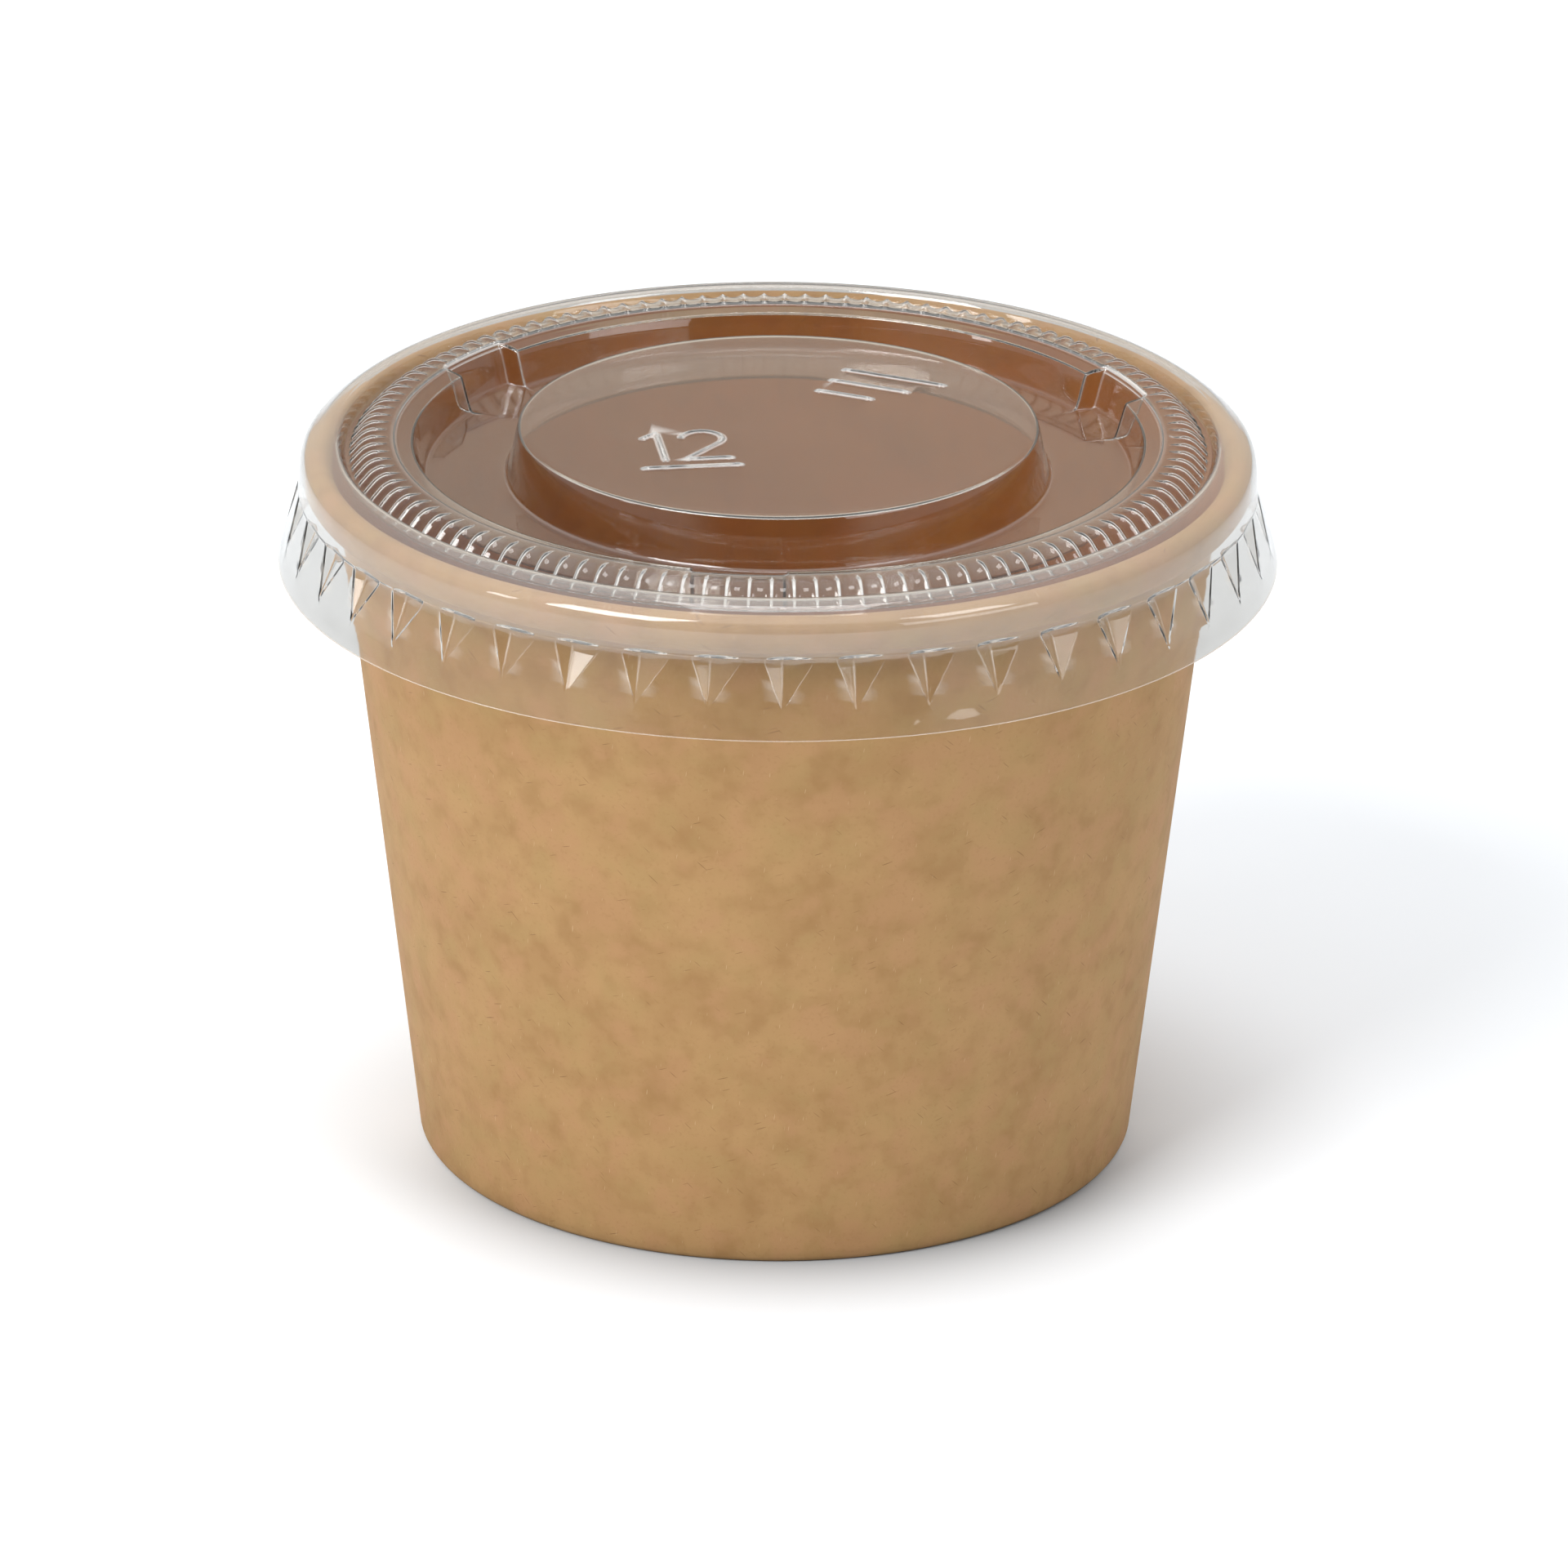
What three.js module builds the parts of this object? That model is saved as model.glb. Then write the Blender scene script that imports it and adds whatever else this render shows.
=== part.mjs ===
// Paper portion cup with a clear press-on lid.
// Millimetres, +Z up, origin at the middle of the base ring, cup standing on z = 0.
import * as THREE from 'three';

// ---------------------------------------------------------------- driving dimensions
const PAPER = 0.35;              // paperboard of the side wall and of the bottom
const SHEET = 0.30;              // plastic sheet that the lid is formed from
const CLEARANCE = 0.12;          // air left between two faces that are glued or pressed together

const BASE_RADIUS = 28.5;        // outside of the side wall at z = 0
const WALL_TAPER = 0.1124;       // gain in radius for each millimetre of height
const FOLD_RADIUS = 0.45;        // rounding where the side wall is folded under
const HEM_TOP = 4.6;              // top of the hem, the folded-in strip under the bottom
const BOTTOM_UNDERSIDE = 5.1;    // recess under the bottom disc
const FLANGE_FOOT = 0.75;        // lower edge of the bottom's down-turned flange

const RIM_RADIUS = 37.3;         // rolled rim, a mouth of the 74 mm class
const RIM_TOP = 57.3;
const RIM_HALF_WIDTH = 1.15;     // the roll is a little taller than it is wide
const RIM_HALF_HEIGHT = 1.45;
const RIM_ROLL_END = -125;       // degrees round the roll where the paper's edge lies
const RIM_STEPS = 9;

const SEAM_ANGLE = 90;           // degrees, middle of the glued overlap, at the back
const SEAM_HALF = 6;             // half its width, degrees
const SEAM_EDGE = 0.5;           // width of the step at its cut edge, degrees

const LID_SKIRT_RADIUS = 39.38;  // flared lower edge of the lid
const LID_SKIRT_FOOT = 48.43;
const BEAD_RADIUS = 37.72;       // bead that wraps the rolled rim
const BEAD_TOP = 58.41;
const RING_TOP = 58.54;          // raised ring inside the bead
const FLOOR_LEVEL = 55.16;       // channel floor, where the base of a stacked cup sits
const PLATEAU_TOP = 59.33;
const PLATEAU_RADIUS = 20.25;
const PLATEAU_FOOT_RADIUS = 21.45;

const RIB_COUNT = 120;           // fine radial ribs round the ring's outer shoulder
const RIB_HEIGHT = 0.25;
const DENT_COUNT = 43;           // V-shaped dents that clip under the rolled rim
const DENT_TURN = -1.52;         // degrees, middle of the lobe nearest +X
const DENT_DEPTH = 0.7;
const DENT_LEFT = 1.25;          // from the fold to the steep side's edge, at the dent's top
const DENT_RIGHT = 2.35;         // from the fold to the shallow side's edge
const DENT_TOP = 54.2;
const DENT_CEILING_FALL = 0.45;  // the dent's ceiling slopes down this much towards the cup
const DENT_TIP = 50.5;
const NOTCH_CENTRES = [-95.8, 24.2, 144.2];  // degrees, three notches in the ring's inner lip
const NOTCH_HALF = 6.3;
const NOTCH_SIDE = 1.0;          // width of a notch's side wall, degrees
const NOTCH_DEPTH = 1.5;
const NOTCH_SHELF = 0.35;        // how far a notch pushes back the crease behind the lip

const ROUND_STEPS = 60;          // flats round the smooth stretches
const PLATEAU_STEPS = 48;

// ---------------------------------------------------------------- rings and closed skins
const radians = (degrees) => degrees * Math.PI / 180;

function evenAngles(count, start = 0) {
  return Array.from({ length: count }, (_, i) => start + i * 360 / count);
}

// A ring is a list of { angle, r, z }, one corner for each angle.
function ring(r, z, angles, relief = () => ({ r: 0, z: 0 })) {
  return angles.map((angle) => {
    const shift = relief(angle);
    return { angle, r: r + shift.r, z: z + shift.z };
  });
}

// Joins two rings, each closed on itself, with a strip of triangles.
// The rings may have different angles, so the strip always takes the next side whose middle
// comes first.
function strip(lower, upper, lowerStart, upperStart, triangles) {
  const at = (list, i) => list[i % list.length].angle + 360 * Math.floor(i / list.length);
  const middle = (list, i) => (at(list, i) + at(list, i + 1)) / 2;
  let a = 0;
  let b = 0;
  while (a < lower.length || b < upper.length) {
    const stepA = b >= upper.length
      || (a < lower.length && middle(lower, a) <= middle(upper, b) + 1e-9);
    const cornerA = lowerStart + a % lower.length;
    const cornerB = upperStart + b % upper.length;
    if (stepA) {
      triangles.push([cornerA, lowerStart + (a + 1) % lower.length, cornerB]);
      a += 1;
    } else {
      triangles.push([cornerA, upperStart + (b + 1) % upper.length, cornerB]);
      b += 1;
    }
  }
}

// Closes a single corner on the axis to a ring.
function fan(pole, first, count, flip, triangles) {
  for (let i = 0; i < count; i += 1) {
    const here = first + i;
    const next = first + (i + 1) % count;
    triangles.push(flip ? [pole, next, here] : [pole, here, next]);
  }
}

function volumeOf(corners, triangles) {
  let six = 0;
  for (const [a, b, c] of triangles) {
    six += corners[a].dot(new THREE.Vector3().crossVectors(corners[b], corners[c]));
  }
  return six / 6;
}

// One closed body from rings in order round its section. With poles, the body is closed on the
// axis at both ends; without them the last ring joins the first.
function bodyFromRings(rings, poles) {
  const corners = [];
  const starts = [];
  for (const list of rings) {
    starts.push(corners.length);
    for (const { angle, r, z } of list) {
      const turn = radians(angle);
      corners.push(new THREE.Vector3(r * Math.cos(turn), r * Math.sin(turn), z));
    }
  }
  let triangles = [];
  for (let i = 0; i + 1 < rings.length; i += 1) {
    strip(rings[i], rings[i + 1], starts[i], starts[i + 1], triangles);
  }
  const last = rings.length - 1;
  if (poles) {
    corners.push(new THREE.Vector3(0, 0, poles[0]), new THREE.Vector3(0, 0, poles[1]));
    fan(corners.length - 2, starts[0], rings[0].length, true, triangles);
    fan(corners.length - 1, starts[last], rings[last].length, false, triangles);
  } else {
    strip(rings[last], rings[0], starts[last], starts[0], triangles);
  }
  if (volumeOf(corners, triangles) < 0) {
    triangles = triangles.map(([a, b, c]) => [a, c, b]);
  }
  const geometry = new THREE.BufferGeometry().setFromPoints(corners);
  geometry.setIndex(triangles.flat());
  geometry.computeVertexNormals();
  return geometry;
}

// ---------------------------------------------------------------- side wall with rolled rim
const wallOutside = (z) => BASE_RADIUS + WALL_TAPER * z;
const wallInside = (z) => wallOutside(z) - PAPER;

// The glued overlap stands one paper proud, with a cut edge on one side and a slow run-out on
// the other.
const seamRelief = (angle) => {
  const across = angle - SEAM_ANGLE;
  return { r: across >= -SEAM_HALF && across <= SEAM_HALF ? PAPER : 0, z: 0 };
};

function wallAngles() {
  const angles = evenAngles(ROUND_STEPS);
  angles.push(SEAM_ANGLE - SEAM_HALF - SEAM_EDGE);
  return angles.sort((a, b) => a - b);
}

// Points along the roll, from the inside of the mouth over the top and round outside.
function rollPoints(inset, count) {
  const middle = new THREE.Vector2(RIM_RADIUS - RIM_HALF_WIDTH, RIM_TOP - RIM_HALF_HEIGHT);
  const roll = new THREE.EllipseCurve(
    middle.x, middle.y, RIM_HALF_WIDTH - inset, RIM_HALF_HEIGHT - inset,
    Math.PI, radians(RIM_ROLL_END), true);
  return roll.getPoints(count);
}

function buildCupWall() {
  const angles = wallAngles();
  const plain = (r, z) => ring(r, z, angles);
  const seamed = (r, z) => ring(r, z, angles, seamRelief);
  const hemOutside = (z) => wallInside(z) - 2 * CLEARANCE - PAPER;
  const hemInside = (z) => hemOutside(z) - PAPER;
  const slotFoot = FOLD_RADIUS + 0.05;
  const rollStart = RIM_TOP - RIM_HALF_HEIGHT;
  const rings = [
    plain(hemOutside(slotFoot), slotFoot),
    plain(wallInside(slotFoot), slotFoot),
    plain(wallInside(rollStart - 3), rollStart - 3),
    ...rollPoints(0, RIM_STEPS).map((p) => plain(p.x, p.y)),
    ...rollPoints(PAPER, RIM_STEPS - 2).reverse().map((p) => plain(p.x, p.y)),
    seamed(wallOutside(rollStart - 3), rollStart - 3),
    seamed(wallOutside(FOLD_RADIUS), FOLD_RADIUS),
    seamed(BASE_RADIUS - 0.29 * FOLD_RADIUS, 0.29 * FOLD_RADIUS),
    plain(BASE_RADIUS - FOLD_RADIUS, 0),
    plain(hemInside(0) + FOLD_RADIUS, 0),
    plain(hemInside(FOLD_RADIUS), FOLD_RADIUS),
    plain(hemInside(HEM_TOP), HEM_TOP),
    plain(hemOutside(HEM_TOP), HEM_TOP),
  ];
  return bodyFromRings(rings);
}

// ---------------------------------------------------------------- bottom disc with its flange
function buildCupBottom() {
  const angles = wallAngles();
  const plain = (r, z) => ring(r, z, angles);
  const outside = (z) => wallInside(z) - CLEARANCE;
  const inside = (z) => outside(z) - PAPER;
  const top = BOTTOM_UNDERSIDE + PAPER;
  const rings = [
    plain(outside(top) - PAPER, top),
    plain(outside(top - PAPER), top - PAPER),
    plain(outside(FLANGE_FOOT), FLANGE_FOOT),
    plain(inside(FLANGE_FOOT), FLANGE_FOOT),
    plain(inside(BOTTOM_UNDERSIDE - PAPER), BOTTOM_UNDERSIDE - PAPER),
    plain(inside(BOTTOM_UNDERSIDE) - PAPER, BOTTOM_UNDERSIDE),
  ];
  return bodyFromRings(rings, [top, BOTTOM_UNDERSIDE]);
}

// ---------------------------------------------------------------- lid
// Flats that fall on the notches' sides as well as evenly between them.
function channelAngles() {
  const between = 17;
  const edge = NOTCH_HALF + NOTCH_SIDE;
  const gap = (360 / NOTCH_CENTRES.length - 2 * edge) / between;
  const angles = NOTCH_CENTRES.flatMap((centre) => [
    ...[-edge, -NOTCH_HALF, 0, NOTCH_HALF].map((offset) => centre + offset),
    ...Array.from({ length: between }, (_, i) => centre + edge + i * gap),
  ]);
  return angles.map((angle) => (angle + 360) % 360).sort((a, b) => a - b);
}

// The lip and the channel wall stand back inside each notch.
const notchRelief = (depth) => (angle) => {
  const inside = NOTCH_CENTRES.some((centre) => {
    const across = ((angle - centre + 540) % 360) - 180;
    return Math.abs(across) <= NOTCH_HALF + 1e-6;
  });
  return { r: inside ? depth : 0, z: 0 };
};

// Every second corner of the ribbed band is a crest, raised along the shoulder's normal.
const ribAngles = evenAngles(2 * RIB_COUNT);
const ribRelief = (share) => (angle) => {
  const crest = Math.round(angle * RIB_COUNT / 180) % 2 === 0;
  const rise = crest ? RIB_HEIGHT * share : 0;
  return { r: rise * Math.SQRT1_2, z: rise * Math.SQRT1_2 };
};

// Four corners a pitch: left edge, valley and right edge of the dent, and the plain lobe.
function dentAngles() {
  const pitch = 360 / DENT_COUNT;
  const left = THREE.MathUtils.radToDeg(DENT_LEFT / BEAD_RADIUS);
  const right = THREE.MathUtils.radToDeg(DENT_RIGHT / BEAD_RADIUS);
  const lobe = pitch + (right - left) / 2;
  const offsets = [pitch / 2 - left, pitch / 2, pitch / 2 + right, lobe];
  return evenAngles(DENT_COUNT, DENT_TURN)
    .flatMap((start) => offsets.map((offset) => start + offset));
}
// Two corners a pitch below the dents: each dent's tip and the middle of the lobe beside it.
const tipAngles = () => evenAngles(2 * DENT_COUNT, DENT_TURN + 180 / DENT_COUNT);

const isValley = (angle) => {
  const pitch = 360 / DENT_COUNT;
  const across = ((angle - DENT_TURN + pitch / 2) % pitch) / pitch;
  return Math.min(across, 1 - across) < 1e-6;
};
const dentRelief = (angle) => ({ r: isValley(angle) ? -DENT_DEPTH : 0, z: 0 });

// The formed sheet's upper face, from the plateau out to the skirt's edge.
function lidProfile() {
  const plateau = evenAngles(PLATEAU_STEPS);
  const channel = channelAngles();
  const round = evenAngles(ROUND_STEPS);
  const dents = dentAngles();
  return [
    { r: PLATEAU_RADIUS, z: PLATEAU_TOP, angles: plateau },
    { r: PLATEAU_FOOT_RADIUS, z: FLOOR_LEVEL, angles: plateau },
    { r: 27.65, z: FLOOR_LEVEL, angles: channel, relief: notchRelief(NOTCH_DEPTH) },
    { r: 28.73, z: 58.10, angles: channel, relief: notchRelief(NOTCH_DEPTH) },
    { r: 30.09, z: 58.40, angles: channel, relief: notchRelief(NOTCH_SHELF) },
    { r: 31.25, z: RING_TOP, angles: ribAngles, plainBelow: round },
    { r: 32.10, z: 58.50, angles: ribAngles, relief: ribRelief(0.8), plainBelow: round },
    { r: 32.85, z: 58.02, angles: ribAngles, relief: ribRelief(1), plainBelow: round },
    { r: 33.60, z: 57.25, angles: ribAngles, plainBelow: round },
    { r: 33.95, z: 57.12, angles: round },
    { r: 34.30, z: 57.55, angles: round },
    { r: 34.60, z: 58.15, angles: round },
    { r: 35.11, z: BEAD_TOP, angles: round },
    { r: 35.95, z: 58.20, angles: round },
    { r: 36.80, z: 57.60, angles: round },
    { r: 37.42, z: 56.95, angles: round },
    { r: BEAD_RADIUS, z: 56.00, angles: round },
    { r: BEAD_RADIUS, z: 55.00, angles: round },
    { r: 38.05, z: DENT_TOP, angles: dents, belowRise: 0.18 },
    { r: 38.14, z: DENT_TOP - DENT_CEILING_FALL, angles: dents, relief: dentRelief, belowRise: 0.22 },
    { r: 38.87, z: DENT_TIP, angles: tipAngles() },
    { r: LID_SKIRT_RADIUS, z: LID_SKIRT_FOOT, angles: round },
  ];
}

// Moves each corner of a profile to the sheet's other face, along the mean of its two sides.
function otherFace(profile, thickness) {
  const normals = profile.slice(1).map((point, i) => {
    const along = new THREE.Vector2(point.r - profile[i].r, point.z - profile[i].z).normalize();
    return new THREE.Vector2(-along.y, along.x);
  });
  return profile.map((point, i) => {
    const before = normals[Math.max(i - 1, 0)];
    const after = normals[Math.min(i, normals.length - 1)];
    const mean = before.clone().add(after).normalize();
    const reach = thickness / Math.max(mean.dot(after), 0.6);
    const flatStart = i === 0;
    return {
      ...point,
      r: point.r - (flatStart ? after.x * thickness : mean.x * reach),
      z: point.z - (flatStart ? thickness : mean.y * reach) + (point.belowRise ?? 0),
      angles: point.plainBelow ?? point.angles,
      relief: point.plainBelow ? undefined : point.relief,
    };
  });
}

function buildLid() {
  const upper = lidProfile();
  const lower = otherFace(upper, SHEET);
  const rings = [...upper, ...lower.reverse()]
    .map(({ r, z, angles, relief }) => ring(r, z, angles, relief));
  return bodyFromRings(rings, [PLATEAU_TOP, PLATEAU_TOP - SHEET]);
}

// ---------------------------------------------------------------- the object
const kraft = new THREE.MeshStandardMaterial({ color: 0xb58a5c, roughness: 0.85, metalness: 0 });
const kraftInside = new THREE.MeshStandardMaterial({ color: 0xa97f54, roughness: 0.7, metalness: 0 });
const clear = new THREE.MeshStandardMaterial({
  color: 0xf4f5f5, roughness: 0.08, metalness: 0, transparent: true, opacity: 0.35 });

function part(name, geometry, material) {
  const mesh = new THREE.Mesh(geometry, material);
  mesh.name = name;
  return mesh;
}

const cup = new THREE.Group();
cup.add(part('cup_wall', buildCupWall(), kraft));
cup.add(part('cup_bottom', buildCupBottom(), kraftInside));
cup.add(part('lid', buildLid(), clear));

export default cup;
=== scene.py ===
# %% [markdown]
# # A paper portion cup with a clear lid
# The object is a small kraft cup: a wrapped side wall with a rolled rim, a bottom disc pressed up
# inside it, and a thin clear lid formed from one sheet. The solids come from the CAD frame, and
# this script dresses them: it replaces each of the three nodes with a finer mesh of the same size.
# Everything turned is made from a profile, everything that repeats is made by Geometry Nodes, and
# the finishes are node materials that read the object's own coordinates.

# %% Open the frame
import math

import bmesh
import bpy
import numpy as np
from mathutils import Matrix, Vector, geometry


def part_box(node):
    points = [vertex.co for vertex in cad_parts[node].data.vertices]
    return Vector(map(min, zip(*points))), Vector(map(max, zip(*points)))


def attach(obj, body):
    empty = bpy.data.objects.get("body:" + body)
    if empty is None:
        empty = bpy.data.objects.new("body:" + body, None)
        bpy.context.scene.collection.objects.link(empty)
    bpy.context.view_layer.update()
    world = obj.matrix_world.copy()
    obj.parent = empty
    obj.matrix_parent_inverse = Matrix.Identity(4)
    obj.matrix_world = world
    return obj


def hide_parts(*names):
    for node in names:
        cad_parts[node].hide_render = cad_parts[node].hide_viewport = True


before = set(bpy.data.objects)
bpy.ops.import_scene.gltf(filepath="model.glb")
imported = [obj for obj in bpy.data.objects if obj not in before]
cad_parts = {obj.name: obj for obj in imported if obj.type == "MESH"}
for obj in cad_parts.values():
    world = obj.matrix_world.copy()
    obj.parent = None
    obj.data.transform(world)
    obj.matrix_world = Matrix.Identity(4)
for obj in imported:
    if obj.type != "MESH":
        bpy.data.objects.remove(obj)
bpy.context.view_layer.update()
print("frame nodes:", sorted(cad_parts))

MM = 0.001

# %% [markdown]
# ## Turned shapes
# A paper cup and its lid are turned shapes with small departures from round: an overlap, notches,
# ribs, dents. A Spin or a Screw modifier gives every height the same number of columns. Here each
# row of the profile brings its own list of angles, so that only the ribbed and dented rows are
# dense, and a row of columns is zipped to the next one even when their counts differ.

# %% Rows of points and the surface between them
def even_angles(count, start=0.0):
    return start + np.arange(count) * 360.0 / count


def row(radius, height, angles, shift=None):
    """One turn of points in millimetres. shift(angles) moves them outwards where it isn't round."""
    radii = np.full(len(angles), float(radius))
    if shift is not None:
        radii = radii + shift(angles)
    return angles, radii, np.full(len(angles), float(height))


def zip_rows(lower, upper, first_lower, first_upper):
    """Faces between two turns of points, given by their angles.

    Equal counts give quads. Otherwise each triangle takes the side whose middle comes first.
    """
    n, m = len(lower), len(upper)
    if n == m:
        i = np.arange(n)
        j = (i + 1) % n
        return np.stack([first_lower + i, first_lower + j, first_upper + j, first_upper + i], 1).tolist()
    at = lambda turn, k: turn[k % len(turn)] + 360.0 * (k // len(turn))
    faces, a, b = [], 0, 0
    while a < n or b < m:
        here_a, here_b = first_lower + a % n, first_upper + b % m
        twice_lower = at(lower, a) + at(lower, a + 1)
        twice_upper = at(upper, b) + at(upper, b + 1)
        if b >= m or (a < n and twice_lower <= twice_upper + 1e-9):
            faces.append([here_a, first_lower + (a + 1) % n, here_b])
            a += 1
        else:
            faces.append([here_a, first_upper + (b + 1) % m, here_b])
            b += 1
    return faces


def smooth_shading(mesh, sharp):
    """Smooth shading, with the edges sharper than this many degrees kept crisp."""
    mesh.polygons.foreach_set("use_smooth", [True] * len(mesh.polygons))
    mesh.set_sharp_from_angle(angle=math.radians(sharp))


def turned_mesh(name, rows, sharp, cap=None, closed=False):
    """A mesh through rows of points.

    cap is the points and faces that fill the first row, and closed joins the last row to the first.
    """
    points, firsts = [], []
    for angles, radii, heights in rows:
        firsts.append(sum(len(p) for p in points))
        turn = np.radians(angles)
        points.append(np.stack([radii * np.cos(turn), radii * np.sin(turn), heights], 1))
    faces = []
    pairs = list(zip(range(len(rows) - 1), range(1, len(rows))))
    if closed:
        pairs.append((len(rows) - 1, 0))
    for i, j in pairs:
        faces += zip_rows(rows[i][0], rows[j][0], firsts[i], firsts[j])
    points = np.concatenate(points)
    if cap is not None:
        cap_points, cap_faces = cap
        faces += [[len(points) + k for k in face] for face in cap_faces]
        points = np.vstack([points, cap_points])
    mesh = bpy.data.meshes.new(name)
    mesh.from_pydata((points * MM).tolist(), [], faces)
    mesh.validate()
    shape = bmesh.new()
    shape.from_mesh(mesh)
    bmesh.ops.remove_doubles(shape, verts=shape.verts, dist=0.001 * MM)
    bmesh.ops.recalc_face_normals(shape, faces=shape.faces)
    shape.to_mesh(mesh)
    shape.free()
    smooth_shading(mesh, sharp)
    thing = bpy.data.objects.new(name, mesh)
    bpy.context.scene.collection.objects.link(thing)
    return thing


def smooth_profile(stations, steps):
    """A smooth curve through (radius, height) stations, tight where the stations are close together."""
    p = np.array(stations, float)
    p = np.vstack([2 * p[0] - p[1], p, 2 * p[-1] - p[-2]])
    out = []
    for i in range(1, len(p) - 2):
        p0, p1, p2, p3 = p[i - 1:i + 3]
        t0 = 0.0
        t1 = t0 + np.linalg.norm(p1 - p0) ** 0.5
        t2 = t1 + np.linalg.norm(p2 - p1) ** 0.5
        t3 = t2 + np.linalg.norm(p3 - p2) ** 0.5
        count = steps[i - 1] if isinstance(steps, (list, tuple)) else steps
        for t in t1 + (t2 - t1) * np.arange(count) / count:
            a1 = (t1 - t) / (t1 - t0) * p0 + (t - t0) / (t1 - t0) * p1
            a2 = (t2 - t) / (t2 - t1) * p1 + (t - t1) / (t2 - t1) * p2
            a3 = (t3 - t) / (t3 - t2) * p2 + (t - t2) / (t3 - t2) * p3
            b1 = (t2 - t) / (t2 - t0) * a1 + (t - t0) / (t2 - t0) * a2
            b2 = (t3 - t) / (t3 - t1) * a2 + (t - t1) / (t3 - t1) * a3
            out.append((t2 - t) / (t2 - t1) * b1 + (t - t1) / (t2 - t1) * b2)
    out.append(p[-2])
    return np.array(out)


def ease(x):
    x = np.clip(x, 0.0, 1.0)
    return x * x * (3 - 2 * x)


def angle_from(angles, centre):
    return (np.asarray(angles) - centre + 540.0) % 360.0 - 180.0


# %% [markdown]
# ## Arithmetic in a node tree
# Geometry and shader nodes do sums with Math nodes, which are slow to read in a script. A small
# class that stands for one socket, with the ordinary signs, lets a rule be written as a formula
# while the tree still holds every step as a node.

# %% A socket that can be used in a formula
class Sum:
    def __init__(self, tree, socket):
        self.tree, self.socket = tree, socket

    def node(self, operation, *others):
        made = self.tree.nodes.new("ShaderNodeMath")
        made.operation = operation
        for place, value in enumerate((self,) + others):
            if isinstance(value, Sum):
                self.tree.links.new(value.socket, made.inputs[place])
            else:
                made.inputs[place].default_value = value
        return Sum(self.tree, made.outputs[0])

    def __add__(self, other): return self.node("ADD", other)
    def __sub__(self, other): return self.node("SUBTRACT", other)
    def __mul__(self, other): return self.node("MULTIPLY", other)
    def __truediv__(self, other): return self.node("DIVIDE", other)
    def __pow__(self, other): return self.node("POWER", other)
    def size(self): return self.node("ABSOLUTE")
    def fraction(self): return self.node("FRACT")
    def least(self, other): return self.node("MINIMUM", other)
    def most(self, other): return self.node("MAXIMUM", other)

    def between(self, low, high, to_low=0.0, to_high=1.0, smooth=True):
        """This number moved from low..high to to_low..to_high, held at the ends."""
        made = self.tree.nodes.new("ShaderNodeMapRange")
        made.interpolation_type = "SMOOTHSTEP" if smooth else "LINEAR"
        made.clamp = True
        for place, value in enumerate((self, low, high, to_low, to_high)):
            if isinstance(value, Sum):
                self.tree.links.new(value.socket, made.inputs[place])
            else:
                made.inputs[place].default_value = value
        return Sum(self.tree, made.outputs[0])


def parts_of(tree, vector_socket):
    """The x, y and z of a vector socket."""
    split = tree.nodes.new("ShaderNodeSeparateXYZ")
    tree.links.new(vector_socket, split.inputs[0])
    return [Sum(tree, split.outputs[i]) for i in range(3)]


# %% [markdown]
# ## Kraft paperboard
# Kraft board is unbleached: a warm tan with soft cloudy patches a few millimetres wide, a finer
# grain, and a few short dark and pale fibres lying every way. The colour is built from noise in
# Object coordinates. On the side wall the pattern is laid round the cone, by angle and height, so
# that fibres lie in the sheet, and the join of that wrapping falls under the glued overlap.

# %% Kraft finish
def new_material(name):
    material = bpy.data.materials.new(name)
    material.use_nodes = True
    tree = material.node_tree
    shader = tree.nodes["Principled BSDF"]
    return material, tree, shader


def vector_of(tree, x, y, z):
    join = tree.nodes.new("ShaderNodeCombineXYZ")
    for place, value in enumerate((x, y, z)):
        if isinstance(value, Sum):
            tree.links.new(value.socket, join.inputs[place])
        else:
            join.inputs[place].default_value = value
    return join.outputs[0]


def noise(tree, vector, size_mm, detail=2.0, roughness=0.5):
    """Cloudy noise whose patches are about size_mm wide."""
    made = tree.nodes.new("ShaderNodeTexNoise")
    made.inputs["Scale"].default_value = 1.0 / (size_mm * MM)
    made.inputs["Detail"].default_value = detail
    made.inputs["Roughness"].default_value = roughness
    tree.links.new(vector, made.inputs["Vector"])
    return Sum(tree, made.outputs[0])


def tint(tree, base, colour, amount):
    """base mixed towards colour by amount, a Sum from 0 to 1."""
    mix = tree.nodes.new("ShaderNodeMix")
    mix.data_type = "RGBA"
    tree.links.new(amount.socket, mix.inputs["Factor"])
    if isinstance(base, tuple):
        mix.inputs["A"].default_value = base + (1.0,)
    else:
        tree.links.new(base, mix.inputs["A"])
    mix.inputs["B"].default_value = colour + (1.0,)
    return mix.outputs["Result"]


def open_where(tree, shader, amount, colour=(1.0, 1.0, 1.0)):
    """Ends the material in the shader, and lets light straight through where amount is 1."""
    open_air = tree.nodes.new("ShaderNodeBsdfTransparent")
    open_air.inputs["Color"].default_value = colour + (1.0,)
    mix = tree.nodes.new("ShaderNodeMixShader")
    tree.links.new(amount.socket, mix.inputs[0])
    tree.links.new(shader.outputs[0], mix.inputs[1])
    tree.links.new(open_air.outputs[0], mix.inputs[2])
    out = next(node for node in tree.nodes if node.type == "OUTPUT_MATERIAL")
    tree.links.new(mix.outputs[0], out.inputs["Surface"])


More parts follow.
